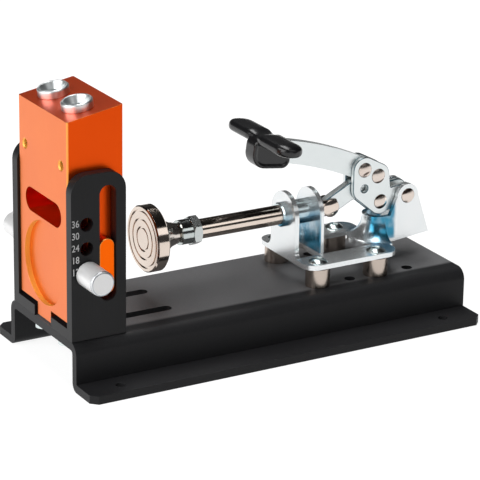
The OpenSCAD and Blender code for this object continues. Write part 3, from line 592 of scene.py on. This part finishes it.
# Grip: two flat paddles across the bar's end, with a waist between them, on a stem around the bar.
# Millimetres and degrees, and powers that square off the paddles' oval section and blunt their tips
GRIP_AT = (10.91, 0, 111.44)
GRIP_TILT = 8.07
PADDLE_AT = (2.5, 7.2)
PADDLE_REACH = 35.0
PADDLE_HALF_W = 8.6
PADDLE_HALF_T = 4.1
PADDLE_SQUARE_W = 0.8
PADDLE_SQUARE_T = 0.7
PADDLE_TIP = 9.0
TIP_BLUNT = 0.6
TIP_LEAST = 1e-4
WAIST_HALF_W = 7.2
WAIST_HALF_T = 2.7
WAIST_SPAN = 9.0
STEM_X = (-7.0, 19.0)
STEM_Z = (-10.5, 8.0)
STEM_HALF_Y = 5.5
STEM_R = 5.0
STEM_HEEL_R = 9.0
# The stem's side panels, and the rounding of its sides as pairs of depth and inset
PANEL_INSET = 2.2
PANEL_DEPTH = 0.7
PANEL_SLOPE = 0.4
SIDE_ROUND = ((0.0, 0.8), (0.3, 0.3), (1.0, 0.0))
# How finely the grip is drawn and softened
PADDLE_RINGS = 70
PADDLE_POINTS = 48
CORNER_POINTS = 12
GRIP_VOXEL = 0.55
SOFTEN_FACTOR = 0.5
SOFTEN_STEPS = 4


def smooth_step(v):
    v = min(max(v, 0.0), 1.0)
    return v * v * (3 - 2 * v)


def squared(v, power):
    return math.copysign(abs(v) ** power, v)


def paddle_ring(y):
    """Flattened oval section of the paddles at one place across the bar."""
    rise = smooth_step(abs(y) / WAIST_SPAN)
    tip = min(1.0, max(0.0, (abs(y) - PADDLE_REACH + PADDLE_TIP) / PADDLE_TIP))
    close = math.sqrt(max(TIP_LEAST, 1 - tip * tip))
    half_w = (WAIST_HALF_W + (PADDLE_HALF_W - WAIST_HALF_W) * rise) * close
    half_t = (WAIST_HALF_T + (PADDLE_HALF_T - WAIST_HALF_T) * rise) * close ** TIP_BLUNT
    ring = []
    for i in range(PADDLE_POINTS):
        a = 2 * math.pi * i / PADDLE_POINTS
        x = PADDLE_AT[0] + half_w * squared(math.cos(a), PADDLE_SQUARE_W)
        z = PADDLE_AT[1] + half_t * squared(math.sin(a), PADDLE_SQUARE_T)
        ring.append(Vector((x, y, z)))
    return ring


def stem_ring(y, inset):
    """Outline of the stem with a large heel in front, pulled in by inset, at one place across the bar."""
    ring = []
    for i, (cx, cz) in enumerate(((1, 1), (0, 1), (0, 0), (1, 0))):
        r = STEM_HEEL_R if (cx, cz) == (0, 0) else STEM_R
        x = STEM_X[cx] + (r, -r)[cx]
        z = STEM_Z[cz] + (r, -r)[cz]
        for k in range(CORNER_POINTS + 1):
            a = math.pi / 2 * (i + k / CORNER_POINTS)
            ring.append(Vector((x + (r - inset) * math.cos(a), y, z + (r - inset) * math.sin(a))))
    return ring


def loft(shape, rings):
    """Skin over closed rings with both ends capped."""
    rows = [[shape.verts.new(p * MM) for p in ring] for ring in rings]
    for low, high in zip(rows, rows[1:]):
        for i in range(len(low)):
            j = (i + 1) % len(low)
            shape.faces.new((low[i], low[j], high[j], high[i]))
    shape.faces.new(rows[0][::-1])
    shape.faces.new(rows[-1])


def make_grip():
    """Moulded T grip over the bar's end, which stands for the plain solid."""
    shape = bmesh.new()
    loft(shape, [paddle_ring(PADDLE_REACH * (2 * i / PADDLE_RINGS - 1)) for i in range(PADDLE_RINGS + 1)])
    side = ((PANEL_DEPTH, PANEL_INSET + PANEL_SLOPE), (0.0, PANEL_INSET - PANEL_SLOPE)) + SIDE_ROUND
    front = [stem_ring(depth - STEM_HALF_Y, inset) for depth, inset in side]
    back = [stem_ring(STEM_HALF_Y - depth, inset) for depth, inset in reversed(side)]
    loft(shape, front + back)
    bmesh.ops.recalc_face_normals(shape, faces=shape.faces)
    mesh = bpy.data.meshes.new("grip_moulding")
    shape.to_mesh(mesh)
    shape.free()
    tilt = Matrix.Rotation(math.radians(GRIP_TILT), 4, "Y")
    mesh.transform(Matrix.Translation(Vector(GRIP_AT) * MM) @ tilt)
    mesh.materials.append(finish_of("grip"))
    piece = shown_as("grip_moulding", mesh, "grip")
    remesh = piece.modifiers.new("join", "REMESH")
    remesh.mode = "VOXEL"
    remesh.voxel_size = GRIP_VOXEL * MM
    remesh.use_smooth_shade = True
    soften = piece.modifiers.new("soften", "SMOOTH")
    soften.factor = SOFTEN_FACTOR
    soften.iterations = SOFTEN_STEPS


# Scale numbers on both uprights, one step apart from the top down, in millimetres
NUMBERS = ("36", "30", "24", "18", "12")
NUMBER_TOP = 99.5
NUMBER_STEP = 7.15
NUMBER_INSET = 2.6
NUMBER_SIZE = 5.8
NUMBER_BOLD = 0.03
NUMBER_PROUD = 0.03
NUMBER_NARROW = 0.84


def make_number(label, ink):
    """Printed number that lies in the XY plane."""
    text = bpy.data.curves.new("number", "FONT")
    text.body = label
    text.size = NUMBER_SIZE * MM
    text.extrude = NUMBER_PROUD * MM
    text.offset = NUMBER_BOLD * MM
    text.align_x = "CENTER"
    text.align_y = "CENTER"
    text.materials.append(ink)
    return text


def make_numbers():
    """Printed millimetre numbers beside the index holes, on the outer faces of both uprights."""
    ink = white_print()
    upright = Matrix.Rotation(math.radians(90), 4, "X")
    about = Matrix.Rotation(math.radians(180), 4, "Z")
    narrow = Matrix.Scale(NUMBER_NARROW, 4, (1, 0, 0))
    front_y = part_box("front_angle")[0].y
    rear_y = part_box("rear_angle")[1].y
    for node, face_y, turn in (("front_angle", front_y, upright), ("rear_angle", rear_y, about @ upright)):
        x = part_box(node)[0].x + NUMBER_INSET * MM
        for i, label in enumerate(NUMBERS):
            piece = bpy.data.objects.new(f"number_{node}_{label}", make_number(label, ink))
            at = Vector((x, face_y, (NUMBER_TOP - i * NUMBER_STEP) * MM))
            piece.matrix_world = Matrix.Translation(at) @ turn @ narrow
            bpy.context.scene.collection.objects.link(piece)
            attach(piece, BODY_OF[node])


# Studio, in metres: the floor glows from the first value near the object to the second far away,
# the surroundings fade from low to high, and each lamp has a place, a size and a brightness
FLOOR_SIZE = 8.0
FLOOR_GREY = rgb(0.28, 0.28, 0.28)
FLOOR_GLOW = (0.86, 1.0)
GLOW_AWAY = (0.4, 1.3)
WHITE = rgb(1, 1, 1)
WORLD_LOW = 0.9
WORLD_HIGH = 0.12
WORLD_FADE = (0.3, 0.58)
LAMP_TARGET = Vector((0, 0, 0.07))
LAMPS = {
    "key": ((-1.05, -0.05, 0.55), (1.3, 0.9), 3.4),
    "fill": ((0.35, -1.3, 0.95), (1.1, 0.6), 1.3),
    "top": ((0.08, 0.2, 1.4), (0.5, 1.8), 5.0),
}


def make_floor():
    """Pale floor that keeps the object's soft shadow."""
    bpy.ops.mesh.primitive_plane_add(size=FLOOR_SIZE)
    floor = bpy.context.object
    floor.name = "floor"
    t = Tree("floor")
    away = t.node("ShaderNodeVectorMath", {0: t.coord}, operation="LENGTH").outputs["Value"]
    glow = t.node("ShaderNodeMapRange", {
        "Value": away, "From Min": GLOW_AWAY[0], "From Max": GLOW_AWAY[1],
        "To Min": FLOOR_GLOW[0], "To Max": FLOOR_GLOW[1]}).outputs["Result"]
    floor.data.materials.append(t.shade(
        Base_Color=FLOOR_GREY,
        Roughness=0.9,
        Specular_IOR_Level=0.0,
        Emission_Color=WHITE,
        Emission_Strength=t.product(t.seen(), glow)))


def make_world():
    """Pale surroundings near the horizon that darken upwards, as in a studio."""
    world = bpy.data.worlds.new("studio")
    bpy.context.scene.world = world
    world.use_nodes = True
    nodes, links = world.node_tree.nodes, world.node_tree.links
    split = nodes.new("ShaderNodeSeparateXYZ")
    links.new(nodes.new("ShaderNodeTexCoord").outputs["Generated"], split.inputs[0])
    level = nodes.new("ShaderNodeMapRange")
    level.interpolation_type = "SMOOTHSTEP"
    level.inputs["From Min"].default_value, level.inputs["From Max"].default_value = WORLD_FADE
    level.inputs["To Min"].default_value = WORLD_LOW
    level.inputs["To Max"].default_value = WORLD_HIGH
    links.new(split.outputs["Z"], level.inputs["Value"])
    links.new(level.outputs["Result"], nodes["Background"].inputs["Strength"])


def make_lamp(name, place, size, radiance):
    """Soft box of a given size and brightness that faces the object."""
    data = bpy.data.lights.new(name, "AREA")
    data.shape = "RECTANGLE"
    data.size, data.size_y = size
    data.energy = radiance * math.pi * size[0] * size[1]
    lamp = bpy.data.objects.new(name, data)
    lamp.location = place
    lamp.rotation_euler = (LAMP_TARGET - Vector(place)).to_track_quat("-Z", "Y").to_euler()
    bpy.context.scene.collection.objects.link(lamp)


def make_studio():
    """Surroundings, floor, and soft boxes on the left, in front and overhead."""
    make_world()
    make_floor()
    for name, (place, size, radiance) in LAMPS.items():
        make_lamp(name, place, size, radiance)


make_camera()
dress_nodes()
make_grip()
make_numbers()
make_studio()
bpy.context.scene.view_settings.view_transform = "Standard"
